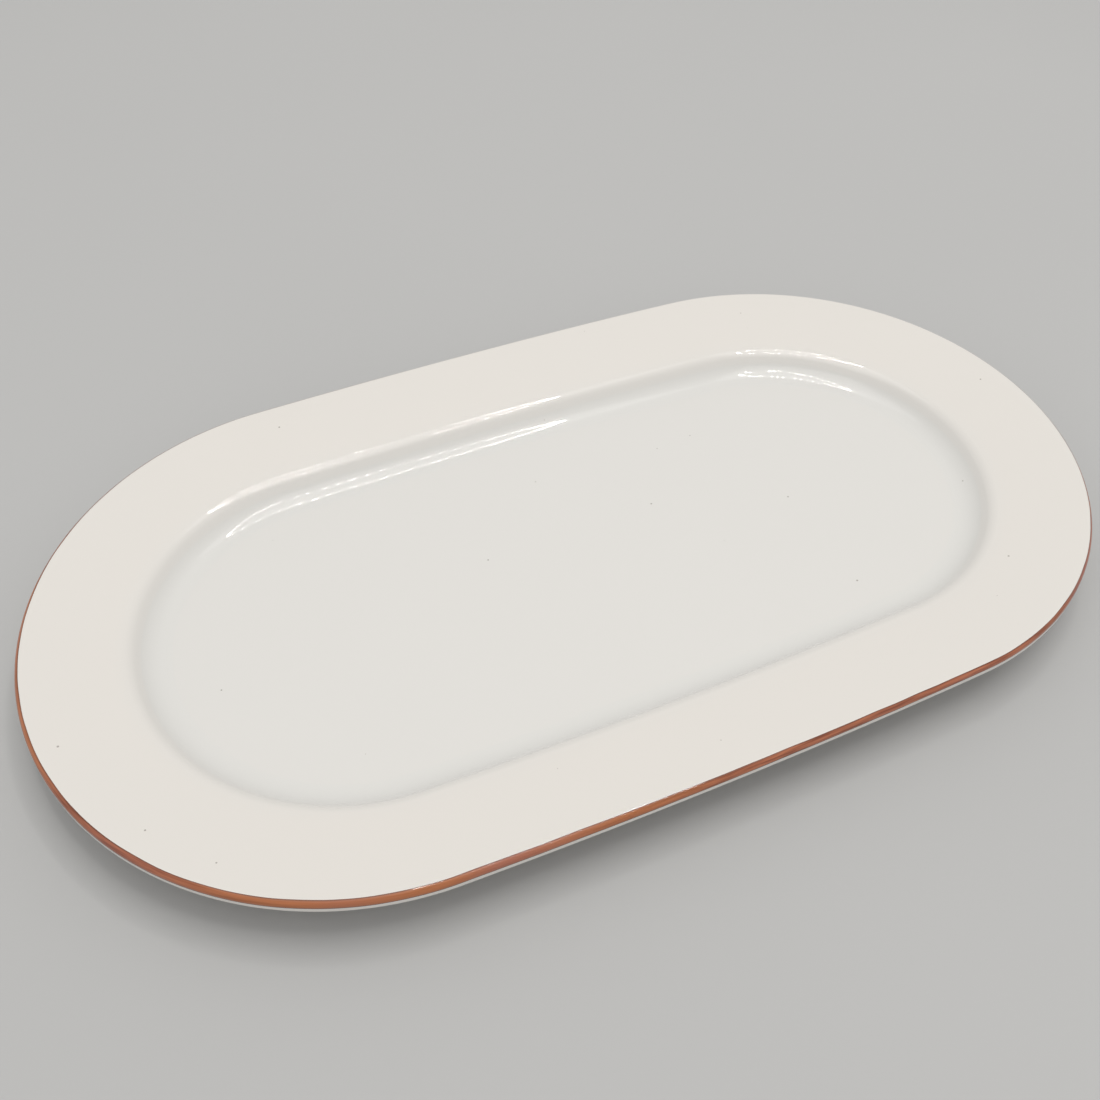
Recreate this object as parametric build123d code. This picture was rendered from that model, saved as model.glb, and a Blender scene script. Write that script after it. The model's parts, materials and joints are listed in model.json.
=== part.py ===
"""Oblong china serving platter: a fired china body, its glaze and the coloured band round its edge.

The plan is a racetrack whose long sides bow out a little: two shallow arcs joined smoothly by two nearly
half-circle ends. Every feature follows that outline at a constant distance, so one cross-section makes
the whole object: it is revolved round the centre of each arc. Inside the foot the platter is flat, so
there a plain plate closes the middle. In the cross-section the first coordinate is the distance out from
the platter's centre line, measured across its middle, and the second is the height. The origin is the
middle of the plane that the foot rests on, X runs along the platter, Y across it and Z is up.
Millimetres.
"""

import os
from math import atan2, cos, degrees, radians, sin, tan

from build123d import *

# Plan
LENGTH = 357.0
WIDTH = 200.0
SIDE_RADIUS = 2250.0
HALF_LENGTH = LENGTH / 2
HALF_WIDTH = WIDTH / 2
SIDE_CENTRE = SIDE_RADIUS - HALF_WIDTH
END_RADIUS = (SIDE_RADIUS**2 - SIDE_CENTRE**2 - HALF_LENGTH**2) / (2 * (SIDE_RADIUS - HALF_LENGTH))
END_CENTRE = HALF_LENGTH - END_RADIUS
SIDE_HALF_ANGLE = degrees(atan2(END_CENTRE, SIDE_CENTRE))

# Heights
TOTAL_HEIGHT = 20.5
FLOOR_DEPTH = 12.5
THICKNESS = 4.5
FLOOR_HEIGHT = TOTAL_HEIGHT - FLOOR_DEPTH

# Rim: straight in section, falling gently from the edge to the lip of the well
RIM_WIDTH = 29.0
RIM_ANGLE = 11.0
EDGE_TOP_RADIUS = 1.6
EDGE_BOTTOM_RADIUS = 1.3

# Well: a rounded lip, a short steep wall and a cove down to the flat floor
WALL_ANGLE = 50.0
LIP_RADIUS = 6.0
COVE_RADIUS = 10.3

# Foot ring, with the bare tip that the platter stands on
FOOT_OUTSIDE = 54.2
FOOT_TIP_WIDTH = 4.4
FOOT_DRAFT = 14.0
FOOT_TIP_RADIUS = 1.0
FOOT_ROOT_RADIUS = 2.0
BARE_HEIGHT = 0.8

# Glaze, and the coloured band that takes its place round the edge
GLAZE = 0.3
BAND_START_ANGLE = 23.0
BAND_HEIGHT = 1.8

# Half-width of the flat plate in the middle, inside the foot
CORE = 40.0

BEYOND = WIDTH


def edge_height():
    """Height of the rim's edge before it is rounded, for which the rounding peaks at the total height."""
    rim = radians(RIM_ANGLE)
    corner_share = tan((radians(90) + rim) / 2) * sin(rim) + cos(rim) - 1
    return TOTAL_HEIGHT + EDGE_TOP_RADIUS * corner_share


def well_sizes():
    """(length of the wall's straight part, half-width of the flat floor) that join the rim to the floor."""
    rim, wall = radians(RIM_ANGLE), radians(WALL_ANGLE)
    arcs_fall = LIP_RADIUS * (cos(rim) - cos(wall)) + COVE_RADIUS * (1 - cos(wall))
    wall_length = (edge_height() - RIM_WIDTH * tan(rim) - FLOOR_HEIGHT - arcs_fall) / sin(wall)
    arcs_run = LIP_RADIUS * (sin(wall) - sin(rim)) + COVE_RADIUS * sin(wall)
    floor_half = HALF_WIDTH - RIM_WIDTH - arcs_run - wall_length * cos(wall)
    return wall_length, floor_half


def contour(depth, reach):
    """Line from the core out to reach, lying this far below the top surface, measured square to it."""
    wall_length, floor_half = well_sizes()
    height = FLOOR_HEIGHT - depth
    floor = Line((CORE, height), (floor_half, height))
    cove = JernArc(floor @ 1, floor % 1, COVE_RADIUS + depth, WALL_ANGLE)
    wall = PolarLine(cove @ 1, wall_length, WALL_ANGLE)
    lip = JernArc(wall @ 1, wall % 1, LIP_RADIUS - depth, RIM_ANGLE - WALL_ANGLE)
    rim_length = (reach - (lip @ 1).X) / cos(radians(RIM_ANGLE))
    rim = PolarLine(lip @ 1, rim_length, RIM_ANGLE)
    return [floor, cove, wall, lip, rim]


def round_corner(section, point, radius):
    """The section with the corner nearest to point rounded."""
    corner = section.vertices().sort_by_distance(point)[0]
    return fillet(corner, radius)


def slab_section(inset):
    """Section of floor, wall and rim, of even thickness, taken in from the surface by inset."""
    reach = HALF_WIDTH - inset
    top = contour(inset, reach)
    underside = contour(THICKNESS - inset, reach)
    edge = Line(top[-1] @ 1, underside[-1] @ 1)
    core = Line(top[0] @ 0, underside[0] @ 0)
    slab = make_face([*top, *underside, edge, core])
    slab = round_corner(slab, edge @ 0, EDGE_TOP_RADIUS - inset)
    return round_corner(slab, edge @ 1, EDGE_BOTTOM_RADIUS - inset)


def foot_section(inset):
    """Section of the foot ring, taken in at its sides by inset, and run up into the slab."""
    draft = radians(FOOT_DRAFT)
    side = inset / cos(draft)
    tip_out = FOOT_OUTSIDE - side
    tip_in = FOOT_OUTSIDE - FOOT_TIP_WIDTH + side
    top = FLOOR_HEIGHT - THICKNESS / 2
    spread = top * tan(draft)
    foot = make_face(
        Polyline(
            (tip_in, 0),
            (tip_out, 0),
            (tip_out + spread, top),
            (tip_in - spread, top),
            close=True,
        )
    )
    foot = round_corner(foot, (tip_in, 0), FOOT_TIP_RADIUS)
    return round_corner(foot, (tip_out, 0), FOOT_TIP_RADIUS)


def platter_section(inset=0.0):
    """Section of the platter, slab and foot in one, taken in from the glazed surface by inset."""
    platter = slab_section(inset) + foot_section(inset)
    root_height = FLOOR_HEIGHT - THICKNESS
    for root in ((FOOT_OUTSIDE - FOOT_TIP_WIDTH, root_height), (FOOT_OUTSIDE, root_height)):
        platter = round_corner(platter, root, FOOT_ROOT_RADIUS + inset)
    return platter


def body_section(platter):
    """Section of the china body: it lies under the glaze, except at the foot's tip, which is bare."""
    under_glaze = platter_section(GLAZE)
    foot_tip = platter & Pos(0, BARE_HEIGHT / 2) * Rectangle(BEYOND, BARE_HEIGHT)
    glazed_part = under_glaze & Pos(0, BARE_HEIGHT + BEYOND / 2) * Rectangle(BEYOND, BEYOND)
    return glazed_part + foot_tip


def band_zone():
    """Section of the space beyond the line where the band starts, down to where it ends."""
    arc_centre = (HALF_WIDTH - EDGE_TOP_RADIUS, TOTAL_HEIGHT - EDGE_TOP_RADIUS)
    start = radians(BAND_START_ANGLE)
    outside = HALF_WIDTH + 2 * EDGE_TOP_RADIUS
    above = arc_centre[1] + 2 * EDGE_TOP_RADIUS
    low = TOTAL_HEIGHT - BAND_HEIGHT
    return make_face(
        Polyline(
            (arc_centre[0], low),
            arc_centre,
            (arc_centre[0] + (above - arc_centre[1]) * tan(start), above),
            (outside, above),
            (outside, low),
            close=True,
        )
    )


def sector(section, radius, angle):
    """Solid that the section sweeps, centred on +Y, when its outer edge goes this angle round the Z axis."""
    upright = Plane.YZ * Pos(radius - HALF_WIDTH, 0) * section
    return Rot(0, 0, -angle / 2) * revolve(upright, axis=Axis.Z, revolution_arc=angle)


def core_plate(low, high):
    """Flat plate between two heights, reaching out to the core's own copy of the outline."""
    inset = HALF_WIDTH - CORE
    side = CenterArc((0, -SIDE_CENTRE), SIDE_RADIUS - inset, 90 - SIDE_HALF_ANGLE, 2 * SIDE_HALF_ANGLE)
    end = CenterArc((-END_CENTRE, 0), END_RADIUS - inset, 90 + SIDE_HALF_ANGLE, 180 - 2 * SIDE_HALF_ANGLE)
    plan = make_face([side, end, Rot(0, 0, 180) * side, Rot(0, 0, 180) * end])
    return Pos(0, 0, low) * extrude(plan, high - low)


def carried_round(section):
    """Solid that a section makes when it is carried round the platter's outline, with its middle closed."""
    side = Pos(0, -SIDE_CENTRE, 0) * sector(section, SIDE_RADIUS, 2 * SIDE_HALF_ANGLE)
    end = Pos(-END_CENTRE, 0, 0) * Rot(0, 0, 90) * sector(section, END_RADIUS, 180 - 2 * SIDE_HALF_ANGLE)
    solid = side + end + Rot(0, 0, 180) * side + Rot(0, 0, 180) * end
    inmost = section.edges().sort_by(Axis.X)[0].bounding_box()
    if inmost.max.X < CORE + GLAZE:
        solid += core_plate(inmost.min.Y, inmost.max.Y)
    return solid


def sections():
    """Section of every separate piece, by name."""
    platter = platter_section()
    body = body_section(platter)
    coating = platter - body
    band = coating & band_zone()
    glazes = (coating - band).faces()
    recess, *outer = glazes.sort_by(Axis.X)
    top, under = sorted(outer, key=lambda face: -face.center().Y)
    return {
        "china_body": body,
        "top_glaze": top,
        "underside_glaze": under,
        "recess_glaze": recess,
        "edge_band": band,
    }


if __name__ == "__main__":
    os.makedirs("parts", exist_ok=True)
    for name, section in sections().items():
        export_step(carried_round(section), f"parts/{name}.step")
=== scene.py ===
"""Looks of the china serving platter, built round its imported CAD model.

The platter is one section carried round a racetrack outline with gently bowed sides, as in the CAD model.
Here the same section is swept again as fine, smooth pieces, one for each CAD node, with the small
unevenness of fired and hand-banded china. In the section, r is the distance out from the platter's centre
line, measured across its middle, and z is the height. Lengths are in metres.
"""

import json
from bisect import bisect_left, bisect_right
from math import atan2, ceil, cos, pi, radians, sin, tan

import bpy
from mathutils import Matrix, Vector, noise


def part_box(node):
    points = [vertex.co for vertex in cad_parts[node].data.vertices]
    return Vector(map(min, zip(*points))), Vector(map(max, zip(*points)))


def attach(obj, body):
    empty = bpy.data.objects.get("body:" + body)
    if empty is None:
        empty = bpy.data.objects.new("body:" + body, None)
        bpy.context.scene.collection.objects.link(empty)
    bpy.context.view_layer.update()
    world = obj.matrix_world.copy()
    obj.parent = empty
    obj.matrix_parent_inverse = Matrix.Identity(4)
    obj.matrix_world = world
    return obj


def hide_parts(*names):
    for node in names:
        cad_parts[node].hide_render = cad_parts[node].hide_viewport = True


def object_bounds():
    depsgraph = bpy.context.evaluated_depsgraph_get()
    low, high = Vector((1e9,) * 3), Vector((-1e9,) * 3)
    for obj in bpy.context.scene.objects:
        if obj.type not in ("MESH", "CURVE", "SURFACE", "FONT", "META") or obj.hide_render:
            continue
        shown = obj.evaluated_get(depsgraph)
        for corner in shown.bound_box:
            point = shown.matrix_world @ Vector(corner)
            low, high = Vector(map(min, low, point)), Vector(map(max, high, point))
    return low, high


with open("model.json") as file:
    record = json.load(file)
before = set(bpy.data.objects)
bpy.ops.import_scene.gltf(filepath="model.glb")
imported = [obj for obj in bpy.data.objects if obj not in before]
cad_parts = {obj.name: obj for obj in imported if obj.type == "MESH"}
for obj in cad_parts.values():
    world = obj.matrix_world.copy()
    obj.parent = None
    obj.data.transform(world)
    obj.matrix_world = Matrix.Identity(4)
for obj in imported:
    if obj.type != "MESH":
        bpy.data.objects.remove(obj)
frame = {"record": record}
cad_low, cad_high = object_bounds()

MM = 0.001

# ---------------------------------------------------------------- section

SIDE_RADIUS = 2250.0 * MM
CORE = 40.0 * MM
RIM_WIDTH = 29.0 * MM
RIM_ANGLE = radians(11.0)
WALL_ANGLE = radians(50.0)
LIP_RADIUS = 6.0 * MM
COVE_RADIUS = 10.3 * MM
THICKNESS = 4.5 * MM
EDGE_TOP_RADIUS = 1.6 * MM
EDGE_BOTTOM_RADIUS = 1.3 * MM
FOOT_TIP_WIDTH = 4.4 * MM
FOOT_DRAFT = radians(14.0)
FOOT_TIP_RADIUS = 1.0 * MM
FOOT_ROOT_RADIUS = 2.0 * MM
BAND_START_ANGLE = radians(23.0)

MOUNTS = {mount["name"]: Vector(mount["pos_m"]) for mount in frame["record"]["mounts"]}
HALF_WIDTH = cad_high.y
SIDE_CENTRE = SIDE_RADIUS - HALF_WIDTH
END_RADIUS = (SIDE_RADIUS**2 - SIDE_CENTRE**2 - cad_high.x**2) / (2 * (SIDE_RADIUS - cad_high.x))
END_CENTRE = cad_high.x - END_RADIUS
SIDE_HALF_ANGLE = atan2(END_CENTRE, SIDE_CENTRE)
FLOOR_Z = MOUNTS["well_floor"].z
FOOT_MIDDLE = -MOUNTS["foot"].y
BAND_LOW_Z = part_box("edge_band")[0].z
BARE_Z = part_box("recess_glaze")[0].z
GLAZE = HALF_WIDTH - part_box("china_body")[1].y

SECTION_STEP = 1.6 * MM
ARC_STEP = radians(3.0)
OUTLINE_STEP = 2.5 * MM
END_STEPS = 120


def crest_corner_z():
    """Height of the rim's edge before it is rounded, for which the rounding peaks at the platter's top."""
    turn = pi / 2 + RIM_ANGLE
    centre_drop = EDGE_TOP_RADIUS * (tan(turn / 2) * sin(RIM_ANGLE) + cos(RIM_ANGLE))
    return cad_high.z + centre_drop - EDGE_TOP_RADIUS


def section_corners():
    """Sharp corners (r, z) of the half-section and the radius each is rounded to, from the middle of the
    well's floor out over the rim and back beneath to the middle of the underside."""
    edge_z = crest_corner_z()
    lip_tangent = LIP_RADIUS * tan((WALL_ANGLE - RIM_ANGLE) / 2)
    lip_r = HALF_WIDTH - RIM_WIDTH - lip_tangent * cos(RIM_ANGLE)
    lip_z = edge_z - (HALF_WIDTH - lip_r) * tan(RIM_ANGLE)
    cove_r = lip_r - (lip_z - FLOOR_Z) / tan(WALL_ANGLE)
    lean = (WALL_ANGLE + RIM_ANGLE) / 2
    shift = THICKNESS / cos((WALL_ANGLE - RIM_ANGLE) / 2)
    under_z = FLOOR_Z - THICKNESS
    tip_out = FOOT_MIDDLE + FOOT_TIP_WIDTH / 2
    tip_in = FOOT_MIDDLE - FOOT_TIP_WIDTH / 2
    flare = under_z * tan(FOOT_DRAFT)
    return [
        ((0.0, FLOOR_Z), 0.0),
        ((cove_r, FLOOR_Z), COVE_RADIUS),
        ((lip_r, lip_z), LIP_RADIUS),
        ((HALF_WIDTH, edge_z), EDGE_TOP_RADIUS),
        ((HALF_WIDTH, edge_z - THICKNESS / cos(RIM_ANGLE)), EDGE_BOTTOM_RADIUS),
        ((lip_r + shift * sin(lean), lip_z - shift * cos(lean)), LIP_RADIUS - THICKNESS),
        ((cove_r + THICKNESS * tan(WALL_ANGLE / 2), under_z), COVE_RADIUS + THICKNESS),
        ((tip_out + flare, under_z), FOOT_ROOT_RADIUS),
        ((tip_out, 0.0), FOOT_TIP_RADIUS),
        ((tip_in, 0.0), FOOT_TIP_RADIUS),
        ((tip_in - flare, under_z), FOOT_ROOT_RADIUS),
        ((0.0, under_z), 0.0),
    ]


def straight(start, end):
    """Samples (point, normal, curvature) from start up to end, which is left out, with the normal to the
    left."""
    along = end - start
    steps = max(1, ceil(along.length / SECTION_STEP))
    normal = Vector((-along.y, along.x)).normalized()
    return [(start + along * k / steps, normal, 0.0) for k in range(steps)]


def section_contour():
    """Samples (point, normal, curvature) along the half-section's rounded outline. Hollows have curvature
    above 0 and rounded edges below 0."""
    corners = [(Vector(point), radius) for point, radius in section_corners()]
    samples = []
    begin = corners[0][0]
    for (corner, radius), (following, _) in zip(corners[1:-1], corners[2:]):
        heading = (corner - begin).normalized()
        leaving = (following - corner).normalized()
        turn = atan2(heading.cross(leaving), heading.dot(leaving))
        tangent = radius * tan(abs(turn) / 2)
        arc_start = corner - heading * tangent
        samples += straight(begin, arc_start)
        side = 1 if turn > 0 else -1
        inward = Vector((-heading.y, heading.x)) * side
        centre = arc_start + inward * radius
        steps = max(3, ceil(abs(turn) / ARC_STEP))
        for k in range(steps):
            spoke = Matrix.Rotation(turn * k / steps, 2) @ -inward
            samples.append((centre + spoke * radius, -spoke * side, side / radius))
        begin = corner + leaving * tangent
    samples += straight(begin, corners[-1][0])
    samples.append((corners[-1][0], Vector((0.0, -1.0)), 0.0))
    return samples


CONTOUR = section_contour()


def running_lengths():
    """Distance along the contour at each of its samples."""
    lengths = [0.0]
    for (before, _, _), (point, _, _) in zip(CONTOUR, CONTOUR[1:]):
        lengths.append(lengths[-1] + (point - before).length)
    return lengths


ALONG = running_lengths()


def contour_at(distance):
    """(point, normal, curvature) at a distance along the contour."""
    after = min(max(bisect_right(ALONG, distance), 1), len(ALONG) - 1)
    share = (distance - ALONG[after - 1]) / (ALONG[after] - ALONG[after - 1])
    (point_a, normal_a, bend_a), (point_b, normal_b, bend_b) = CONTOUR[after - 1], CONTOUR[after]
    normal = normal_a.lerp(normal_b, share).normalized()
    return point_a.lerp(point_b, share), normal, bend_a + (bend_b - bend_a) * share


def crossing(measure, level, start):
    """Distance along the contour, beyond start, at which measure(point, normal) first crosses level."""
    values = [measure(point, normal) - level for point, normal, _ in CONTOUR]
    for k in range(bisect_left(ALONG, start), len(CONTOUR) - 1):
        if values[k] * values[k + 1] <= 0 and values[k] != values[k + 1]:
            share = values[k] / (values[k] - values[k + 1])
            return ALONG[k] + (ALONG[k + 1] - ALONG[k]) * share
    raise ValueError("the contour doesn't cross that level")


MIDDLE = 0.0
LIP_AT = crossing(lambda point, normal: point.x, HALF_WIDTH - RIM_WIDTH, MIDDLE)
BAND_TOP = crossing(lambda point, normal: normal.x, sin(BAND_START_ANGLE), HALF_WIDTH - RIM_WIDTH / 2)
BAND_LOW = crossing(lambda point, normal: point.y, BAND_LOW_Z, BAND_TOP)
FOOT_OUT = crossing(lambda point, normal: point.y, BARE_Z, BAND_LOW)
FOOT_IN = crossing(lambda point, normal: point.y, BARE_Z, FOOT_OUT + FOOT_TIP_WIDTH / 2)
END = ALONG[-1]

# ---------------------------------------------------------------- unevenness of fired china

WARP_HEIGHT = 0.16 * MM
WARP_LENGTH = 110.0 * MM
RIPPLE_HEIGHT = 0.006 * MM
RIPPLE_LENGTH = 11.0 * MM
WANDER = 0.12 * MM
WANDER_LENGTH = 9.0 * MM
WANDER_REACH = 1.4 * MM
BAND_RISE = 0.50 * MM
BAND_DROP = 0.25 * MM
BAND_HIGH_TURN = radians(-72.0)
BAND_RELIEF = 0.03 * MM
BAND_SHOULDER = 0.25 * MM
STROKE_HEIGHT = 0.014 * MM
STROKE_LENGTH = 14.0 * MM
STROKE_WIDTH = 0.45 * MM


def fired(point):
    """Where a point of the true shape ends up after the kiln: the rim and the floor sag and rise a
    little, and the glaze ripples. The foot's tip stays flat."""
    lift = min(1.0, point.z / FLOOR_Z)
    warp = noise.noise(Vector((point.x, point.y, 0.0)) / WARP_LENGTH) * WARP_HEIGHT
    ripple = noise.noise(Vector((point.x, point.y, 7.0 * RIPPLE_LENGTH)) / RIPPLE_LENGTH) * RIPPLE_HEIGHT
    return Vector((point.x, point.y, point.z + lift * (warp + ripple)))


def around(turn):
    """Point on a circle as long as the outline, so that noise taken there closes on itself."""
    return Vector((cos(turn), sin(turn), 0.0)) * PERIMETER / (2 * pi)


def wandered(distance, turn):
    """Distance along the contour, shifted near the band's two borders. The painted lines wander, and the
    band sits higher and is broader at one side than at the other."""
    side = cos(turn - BAND_HIGH_TURN)
    shift = 0.0
    for border, drift in ((BAND_TOP, -BAND_RISE * side), (BAND_LOW, BAND_DROP * side)):
        near = 1.0 - abs(distance - border) / WANDER_REACH
        if near > 0:
            phase = Vector((0.0, 0.0, border * 50))
            shift += near * (WANDER * noise.noise(around(turn) / WANDER_LENGTH + phase) + drift)
    return distance + shift


# ---------------------------------------------------------------- sweeping a section round the outline

LEAST_GAP = 0.01 * MM
ON_CENTRE_LINE = 0.001 * MM
SHARP_ANGLE = radians(40)


def outline_stations():
    """(edge, direction, spine) round the racetrack, anticlockwise: the section's outer edge, the way it
    faces, and the point on the platter's middle line that its inner end runs to."""
    side_steps = ceil(2 * END_CENTRE / OUTLINE_STEP)
    half_end = pi / 2 - SIDE_HALF_ANGLE
    stations = []
    for turned in (1, -1):
        spine = Vector((turned * END_CENTRE, 0, 0))
        for k in range(END_STEPS):
            angle = half_end * (2 * k / END_STEPS - 1)
            direction = Vector((cos(angle), sin(angle), 0)) * turned
            stations.append((spine + direction * END_RADIUS, direction, spine))
        far = Vector((0, -turned * SIDE_CENTRE, 0))
        for k in range(side_steps):
            share = 1 - 2 * k / side_steps
            angle = SIDE_HALF_ANGLE * share
            direction = Vector((sin(angle), cos(angle), 0)) * turned
            stations.append((far + direction * SIDE_RADIUS, direction, spine * share))
    return stations


STATIONS = outline_stations()


def station_turns():
    """Share of the way round the rim's edge at each station, as an angle, and the length of the edge."""
    rim = [edge for edge, _, _ in STATIONS]
    gaps = [(b - a).length for a, b in zip(rim, rim[1:] + rim[:1])]
    total = sum(gaps)
    turns, run = [], 0.0
    for gap in gaps:
        turns.append(2 * pi * run / total)
        run += gap
    return turns, total


TURNS, PERIMETER = station_turns()


def on_station(station, r):
    """Point in plan at section distance r. Inside the core it runs to the station's spine point."""
    edge, direction, spine = station
    if r >= CORE:
        return edge - direction * (HALF_WIDTH - r)
    return spine.lerp(edge - direction * (HALF_WIDTH - CORE), r / CORE)


def between(start, end, every=1):
    """Distances along the contour from start to end, at its own samples, or at one in so many of them."""
    inside = [d for d in ALONG if start + LEAST_GAP < d < end - LEAST_GAP]
    return [start] + inside[::every] + [end]


def outer(distance, turn):
    """Sample (point, distance, curvature) on the platter's surface."""
    point, _, bend = contour_at(wandered(distance, turn))
    return point, distance, bend


def inner(distance, turn):
    """Sample under the glaze."""
    point, normal, bend = contour_at(wandered(distance, turn))
    return point - normal * GLAZE, distance, bend


def painted(distance, turn):
    """Sample on the band, which stands a little proud and keeps the brush's strokes."""
    point, normal, bend = contour_at(wandered(distance, turn))
    inside = min(1.0, min(distance - BAND_TOP, BAND_LOW - distance) / BAND_SHOULDER)
    stroke = noise.noise(around(turn) / STROKE_LENGTH + Vector((0.0, 0.0, distance / STROKE_WIDTH)))
    rise = sin(inside * pi / 2) * (BAND_RELIEF + STROKE_HEIGHT * stroke)
    return point + normal * rise, distance, bend


def coating(start, end, skin=outer):
    """Chain of a fused layer from start to end: along its skin and back beneath. A layer that ends on the
    centre line starts there too, with its underneath."""
    distances = between(start, end)

    def chain(turn):
        over = [skin(d, turn) for d in distances]
        beneath = [inner(d, turn) for d in reversed(distances)]
        return beneath + over if end == END else over + beneath

    return chain


def body_chain(turn):
    """Chain of the china body: bare at the foot's tip, and elsewhere hidden by the glaze and coarser."""
    chain = [inner(d, turn) for d in between(MIDDLE, FOOT_OUT, 2)]
    chain += [outer(d, turn) for d in between(FOOT_OUT, FOOT_IN)]
    return chain + [inner(d, turn) for d in between(FOOT_IN, END, 2)]


def swept_points(chain_at):
    """(columns, points, places, bends) of a chain carried round the outline. A column holds the numbers of
    one station's points. Stations share their points on the centre line, at r = 0."""
    columns, points, places, bends, numbers = [], [], [], [], {}
    for station, turn in zip(STATIONS, TURNS):
        flat = around(turn)
        column = []
        for index, (spot, across, bend) in enumerate(chain_at(turn)):
            where = on_station(station, max(spot.x, 0.0))
            where.z = spot.y
            key = (index, round(where.x / MM, 4)) if spot.x < ON_CENTRE_LINE else len(points)
            if key not in numbers:
                numbers[key] = len(points)
                points.append(fired(where))
                places += [flat.x, flat.y, across]
                bends.append(bend)
            column.append(numbers[key])
        columns.append(column)
    return columns, points, places, bends


def strip_faces(columns, ring):
    """Faces between each column and the next. They lose a corner where the two share a point."""
    rows = len(columns[0])
    faces = []
    for here, after in zip(columns, columns[1:] + columns[:1]):
        for k in range(rows if ring else rows - 1):
            following = (k + 1) % rows
            corners = [here[k], here[following], after[following], after[k]]
            face = [v for i, v in enumerate(corners) if v != corners[i - 1]]
            if len(set(face)) > 2:
                faces.append(face)
    return faces


def sweep(name, chain_at, ring):
    """Mesh object made by carrying a chain of section samples round the outline. chain_at(turn) gives the
    chain at a station. A ring's chain is closed on itself, and another's starts and ends at r = 0."""
    columns, points, places, bends = swept_points(chain_at)
    mesh = bpy.data.meshes.new(name)
    mesh.from_pydata(points, [], strip_faces(columns, ring))
    mesh.polygons.foreach_set("use_smooth", [True] * len(mesh.polygons))
    mesh.set_sharp_from_angle(angle=SHARP_ANGLE)
    mesh.attributes.new("place", "FLOAT_VECTOR", "POINT").data.foreach_set("vector", places)
    mesh.attributes.new("bend", "FLOAT", "POINT").data.foreach_set("value", bends)
    piece = bpy.data.objects.new(name, mesh)
    bpy.context.scene.collection.objects.link(piece)
    return piece


# ---------------------------------------------------------------- finishes


class Finish:
    """A material under construction: node() adds a node and wires or sets its inputs."""

    def __init__(self, name):
        self.material = bpy.data.materials.new(name)
        self.material.use_nodes = True
        self.tree = self.material.node_tree
        self.tree.nodes.clear()

    def node(self, kind, inputs=None, **settings):
        node = self.tree.nodes.new("ShaderNode" + kind)
        for key, value in settings.items():
            setattr(node, key, value)
        for key, value in (inputs or {}).items():
            if isinstance(value, bpy.types.NodeSocket):
                self.tree.links.new(value, node.inputs[key])
            else:
                node.inputs[key].default_value = value
        return node

    def noise(self, vector, scale, detail=2.0, roughness=0.5):
        inputs = {"Vector": vector, "Scale": scale, "Detail": detail, "Roughness": roughness}
        return self.node("TexNoise", inputs).outputs["Fac"]

    def math(self, operation, a, b=0.0, clamp=False):
        return self.node("Math", {0: a, 1: b}, operation=operation, use_clamp=clamp).outputs[0]

    def spread(self, value, low, high, to_low=0.0, to_high=1.0):
        """Value carried smoothly from the range low..high to the range to_low..to_high."""
        inputs = {"Value": value, "From Min": low, "From Max": high, "To Min": to_low, "To Max": to_high}
        return self.node("MapRange", inputs, interpolation_type="SMOOTHSTEP").outputs["Result"]

    def mix(self, share, first, second):
        """Colour between two colours."""
        inputs = {0: share, 6: first, 7: second}
        return self.node("Mix", inputs, data_type="RGBA").outputs[2]

    def stretched(self, vector, x, y, z):
        return self.node("VectorMath", {0: vector, 1: (x, y, z)}, operation="MULTIPLY").outputs[0]

    def relief(self, height, distance, strength=1.0):
        """Normal of a surface with this fine relief, for which a height of 1 stands for the distance."""
        inputs = {"Height": height, "Strength": strength, "Distance": distance}
        return self.node("Bump", inputs).outputs["Normal"]

    def done(self, inputs):
        shader = self.node("BsdfPrincipled", inputs)
        self.node("OutputMaterial", {"Surface": shader.outputs["BSDF"]})
        return self.material


def colour(red, green, blue):
    return (red, green, blue, 1.0)


def iron_specks(finish, spot):
    """1 on rare small dots and 0 elsewhere: about one Voronoi cell in ten holds a dot."""
    grid = {"Vector": spot, "Scale": 65.0, "Randomness": 1.0}
    cells = finish.node("TexVoronoi", grid, voronoi_dimensions="2D")
    chosen = finish.node("SeparateColor", {"Color": cells.outputs["Color"]})
    rare = finish.spread(chosen.outputs[0], 0.90, 0.905)
    size = finish.spread(chosen.outputs[1], 0.0, 1.0, 0.008, 0.022)
    dot = finish.math("LESS_THAN", cells.outputs["Distance"], size)
    return finish.math("MULTIPLY", rare, dot)


def glaze_colour(finish, spot, speck):
    """Colour of the glazed china: a little cooler in the well and where the glaze pools in hollows."""
    place = finish.node("Attribute", attribute_name="place").outputs["Vector"]
    along = finish.node("SeparateXYZ", {"Vector": place}).outputs["Z"]
    bend = finish.node("Attribute", attribute_name="bend").outputs["Fac"]
    cloud = finish.noise(spot, 14.0, 3.0)
    base = finish.mix(cloud, colour(0.794, 0.759, 0.718), colour(0.782, 0.753, 0.716))
    welled = finish.spread(along, LIP_AT - 12.0 * MM, LIP_AT + 5.0 * MM, 1.0, 0.0)
    base = finish.mix(welled, base, colour(0.762, 0.748, 0.724))
    pooled = finish.spread(bend, 0.0, 100.0, 0.0, 0.5)
    base = finish.mix(pooled, base, colour(0.745, 0.742, 0.722))
    return finish.mix(finish.math("MULTIPLY", speck, 0.55), base, colour(0.16, 0.12, 0.09))


def glaze_relief(finish, spot, speck):
    """Normal of the glaze's surface: the faintest orange peel, and a pit at each speck."""
    peel = finish.noise(spot, 260.0, 2.0)
    swell = finish.noise(spot, 60.0, 2.0)
    height = finish.math("ADD", finish.math("MULTIPLY", swell, 3.0), peel)
    height = finish.math("SUBTRACT", height, finish.math("MULTIPLY", speck, 3.0))
    return finish.relief(height, 0.0025 * MM)


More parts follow.
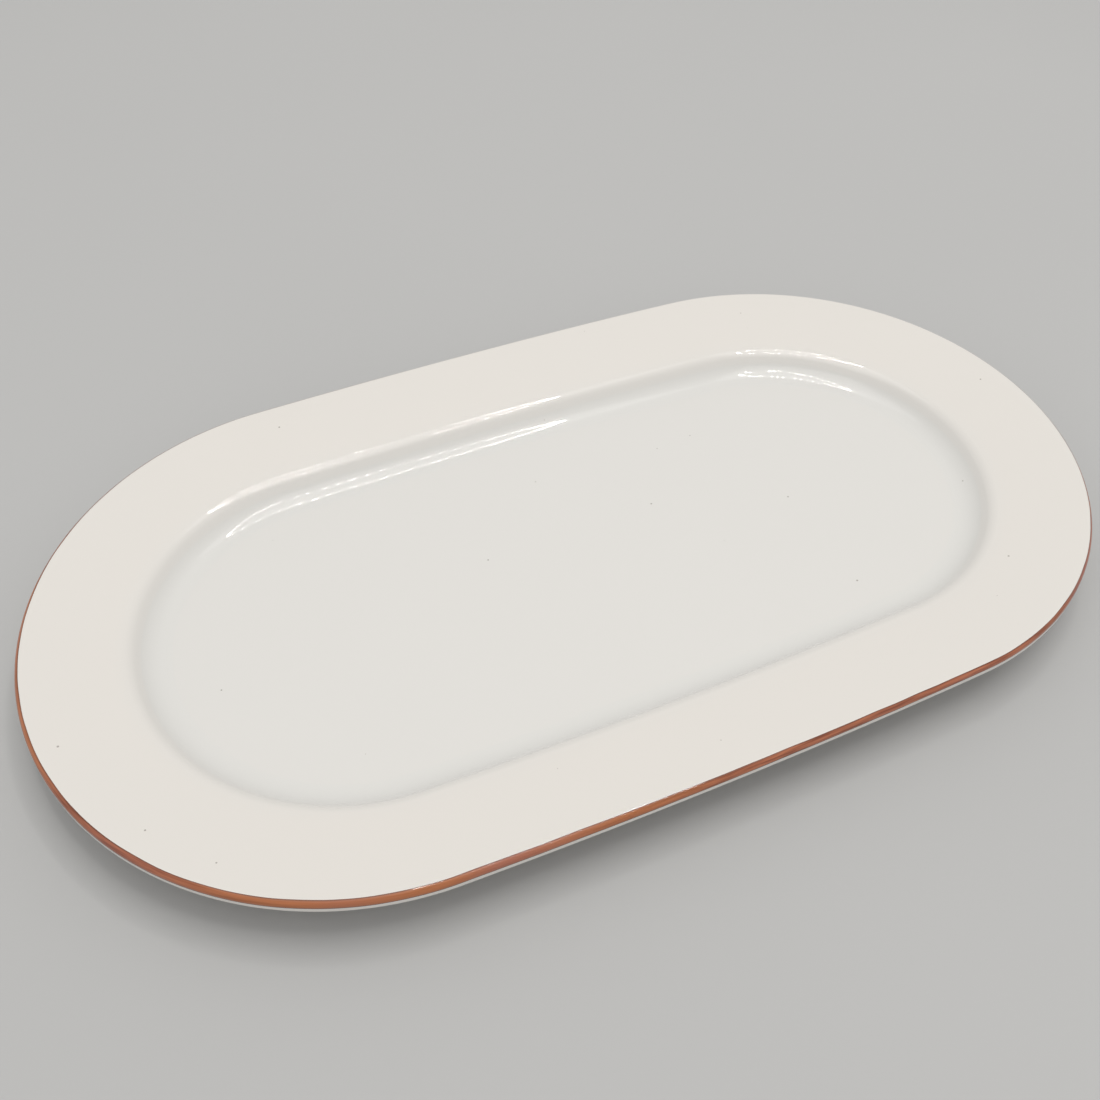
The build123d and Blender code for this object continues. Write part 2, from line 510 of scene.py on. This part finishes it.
def white_glaze():
    """Clear gloss glaze over warm white china: nearly even, with stray iron specks."""
    finish = Finish("white_glaze")
    spot = finish.node("TexCoord").outputs["Object"]
    speck = iron_specks(finish, spot)
    wear = finish.noise(spot, 38.0, 4.0, 0.6)
    relief = glaze_relief(finish, spot, speck)
    return finish.done({
        "Base Color": glaze_colour(finish, spot, speck),
        "Roughness": finish.spread(wear, 0.3, 0.8, 0.30, 0.42),
        "Specular IOR Level": 0.25,
        "Coat Weight": 1.0,
        "Coat Roughness": finish.spread(wear, 0.35, 0.75, 0.004, 0.012),
        "Coat IOR": 1.5,
        "Coat Normal": relief,
        "Normal": relief,
    })


def band_colour(finish, place, streak):
    """Colour of the band: streaks along it, orange and rosy stretches, and dark, thin borders."""
    across = finish.node("SeparateXYZ", {"Vector": place}).outputs["Z"]
    dark, light = colour(0.215, 0.058, 0.027), colour(0.490, 0.165, 0.078)
    base = finish.mix(finish.spread(streak, 0.30, 0.70), dark, light)
    orange = finish.spread(finish.noise(place, 9.0, 2.0), 0.45, 0.62)
    base = finish.mix(finish.math("MULTIPLY", orange, 0.7), base, colour(0.460, 0.155, 0.045))
    elsewhere = finish.node("VectorMath", {0: place, 1: (3.0, 1.0, 2.0)}, operation="ADD").outputs[0]
    rosy = finish.spread(finish.noise(elsewhere, 12.0, 2.0), 0.50, 0.66)
    base = finish.mix(finish.math("MULTIPLY", rosy, 0.6), base, colour(0.380, 0.135, 0.110))
    upper = finish.spread(across, BAND_TOP, BAND_TOP + 0.40 * MM, 1.0, 0.0)
    lower = finish.spread(across, BAND_LOW - 0.50 * MM, BAND_LOW - 0.15 * MM, 0.0, 0.9)
    border = finish.math("ADD", upper, lower, True)
    return finish.mix(finish.math("MULTIPLY", border, 0.8), base, colour(0.100, 0.040, 0.028))


def russet_band():
    """Fired russet colour, brushed on."""
    finish = Finish("russet_band")
    place = finish.node("Attribute", attribute_name="place").outputs["Vector"]
    streak = finish.noise(finish.stretched(place, 1.0, 1.0, 30.0), 55.0, 4.0, 0.6)
    relief = finish.relief(streak, 0.012 * MM)
    return finish.done({
        "Base Color": band_colour(finish, place, streak),
        "Roughness": finish.spread(streak, 0.2, 0.8, 0.22, 0.38),
        "Specular IOR Level": 0.2,
        "Coat Weight": 0.7,
        "Coat Roughness": 0.03,
        "Coat Normal": relief,
        "Normal": relief,
    })


def bare_china():
    """Unglazed china at the foot's tip: matt, fine-grained, with grey rub marks from use."""
    finish = Finish("bare_china")
    spot = finish.node("TexCoord").outputs["Object"]
    grain = finish.noise(spot, 2600.0, 3.0, 0.7)
    rub = finish.noise(spot, 90.0, 4.0, 0.65)
    base = finish.mix(grain, colour(0.70, 0.655, 0.585), colour(0.79, 0.75, 0.69))
    base = finish.mix(finish.spread(rub, 0.52, 0.75, 0.0, 0.45), base, colour(0.42, 0.40, 0.37))
    relief = finish.relief(grain, 0.03 * MM, 0.6)
    return finish.done({"Base Color": base, "Roughness": 0.78, "Normal": relief})


# ---------------------------------------------------------------- the platter's pieces


def platter():
    """Every piece of the platter, each in place of its CAD node."""
    glaze, band, bare = white_glaze(), russet_band(), bare_china()
    # CAD node, name here, chain, whether it is a ring, material
    pieces = (
        ("china_body", "fired_body", body_chain, False, bare),
        ("top_glaze", "upper_glaze", coating(MIDDLE, BAND_TOP), False, glaze),
        ("underside_glaze", "lower_glaze", coating(BAND_LOW, FOOT_OUT), True, glaze),
        ("recess_glaze", "foot_recess_glaze", coating(FOOT_IN, END), False, glaze),
        ("edge_band", "painted_band", coating(BAND_TOP, BAND_LOW, painted), True, band),
    )
    for node, name, chain, ring, material in pieces:
        piece = sweep(name, chain, ring)
        piece.data.materials.append(material)
        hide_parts(node)
        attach(piece, "root")


# ---------------------------------------------------------------- studio

CAMERA_AZIMUTH = radians(-26.16)
CAMERA_ELEVATION = radians(47.23)
CAMERA_ROLL = radians(1.86)
CAMERA_DISTANCE = 390.42 * MM
CAMERA_RIGHT = -12.49 * MM
CAMERA_UP = -7.27 * MM
CAMERA_SENSOR = 36.0
CAMERA_LENS = 39.34

LAMP_CENTRE = Vector((0.43, -0.05, 2.40))
LAMP_HALF_X = 0.42
LAMP_HALF_Y = 0.68
LAMP_TUBE = 0.025
LAMP_LIGHTS = 84
LAMP_LIT = 0.6  # share of each light's stretch of the ring that glows

FLOOR_REACH = 12.0


def directions(azimuth, elevation):
    """(right, up, back) unit vectors of a viewer there. At azimuth 0 the viewer looks along +Y."""
    back = Vector((sin(azimuth) * cos(elevation), -cos(azimuth) * cos(elevation), sin(elevation)))
    right = Vector((cos(azimuth), sin(azimuth), 0.0))
    return right, back.cross(right), back


def camera():
    """The photograph's point of view: above the near left of the platter, close, with its perspective."""
    level, upright, back = directions(CAMERA_AZIMUTH, CAMERA_ELEVATION)
    right = level * cos(CAMERA_ROLL) + upright * sin(CAMERA_ROLL)
    up = upright * cos(CAMERA_ROLL) - level * sin(CAMERA_ROLL)
    lens = bpy.data.cameras.new("camera")
    lens.sensor_width = CAMERA_SENSOR
    lens.lens = CAMERA_LENS
    lens.clip_start = 10 * MM
    viewer = bpy.data.objects.new("camera", lens)
    aim = Vector((0.0, 0.0, cad_high.z))
    place = aim + back * CAMERA_DISTANCE + right * CAMERA_RIGHT + up * CAMERA_UP
    turned = Matrix((right, up, back)).transposed().to_4x4()
    viewer.matrix_world = Matrix.Translation(place) @ turned
    bpy.context.scene.collection.objects.link(viewer)
    bpy.context.scene.camera = viewer


def floor():
    """Plain pale floor, well beyond the picture on every side."""
    mesh = bpy.data.meshes.new("floor")
    corners = [(x * FLOOR_REACH, y * FLOOR_REACH, 0) for x, y in ((-1, -1), (1, -1), (1, 1), (-1, 1))]
    mesh.from_pydata(corners, [], [(0, 1, 2, 3)])
    plane = bpy.data.objects.new("floor", mesh)
    bpy.context.scene.collection.objects.link(plane)
    finish = Finish("floor_paint")
    spot = finish.node("TexCoord").outputs["Object"]
    tone = finish.noise(spot, 3.0, 2.0)
    base = finish.mix(tone, colour(0.50, 0.50, 0.50), colour(0.53, 0.53, 0.53))
    mesh.materials.append(finish.done({"Base Color": base, "Roughness": 0.85, "Specular IOR Level": 0.2}))


def soft_light(name, azimuth, elevation, distance, size, power):
    """Square area light that shines on the platter from an azimuth and elevation."""
    lamp = bpy.data.lights.new(name, "AREA")
    lamp.shape = "SQUARE"
    lamp.size = size
    lamp.energy = power
    light = bpy.data.objects.new(name, lamp)
    _, _, back = directions(azimuth, elevation)
    light.location = back * distance
    light.rotation_mode = "QUATERNION"
    light.rotation_quaternion = back.to_track_quat("Z", "Y")
    bpy.context.scene.collection.objects.link(light)


def ring_lamp():
    """Oblong ring of small lights overhead, which draws fine dotted lines along the well's curves."""
    patch_corners = ((0.0, -0.5), (0.0, 0.5), (LAMP_LIT, 0.5), (LAMP_LIT, -0.5))
    points = []
    for k in range(LAMP_LIGHTS):
        for part, side in patch_corners:
            angle = 2 * pi * (k + part) / LAMP_LIGHTS
            x = (LAMP_HALF_X + side * LAMP_TUBE) * cos(angle)
            y = (LAMP_HALF_Y + side * LAMP_TUBE) * sin(angle)
            points.append(LAMP_CENTRE + Vector((x, y, 0.0)))
    mesh = bpy.data.meshes.new("ring_lamp")
    mesh.from_pydata(points, [], [range(k, k + 4) for k in range(0, len(points), 4)])
    finish = Finish("lamp_glow")
    glow = finish.node("Emission", {"Color": colour(1.0, 0.98, 0.94), "Strength": 100.0})
    finish.node("OutputMaterial", {"Surface": glow.outputs["Emission"]})
    mesh.materials.append(finish.material)
    lamp = bpy.data.objects.new("ring_lamp", mesh)
    bpy.context.scene.collection.objects.link(lamp)


def studio():
    """Even pale surroundings, one broad light overhead and a ring lamp."""
    world = bpy.data.worlds.new("studio")
    bpy.context.scene.world = world
    world.use_nodes = True
    background = world.node_tree.nodes["Background"]
    background.inputs["Color"].default_value = colour(1.0, 0.993, 0.97)
    background.inputs["Strength"].default_value = 0.615
    soft_light("overhead", radians(-24.0), radians(84.0), distance=1.6, size=1.5, power=5.0)
    ring_lamp()
    bpy.context.scene.view_settings.view_transform = "Standard"


platter()
floor()
studio()
camera()
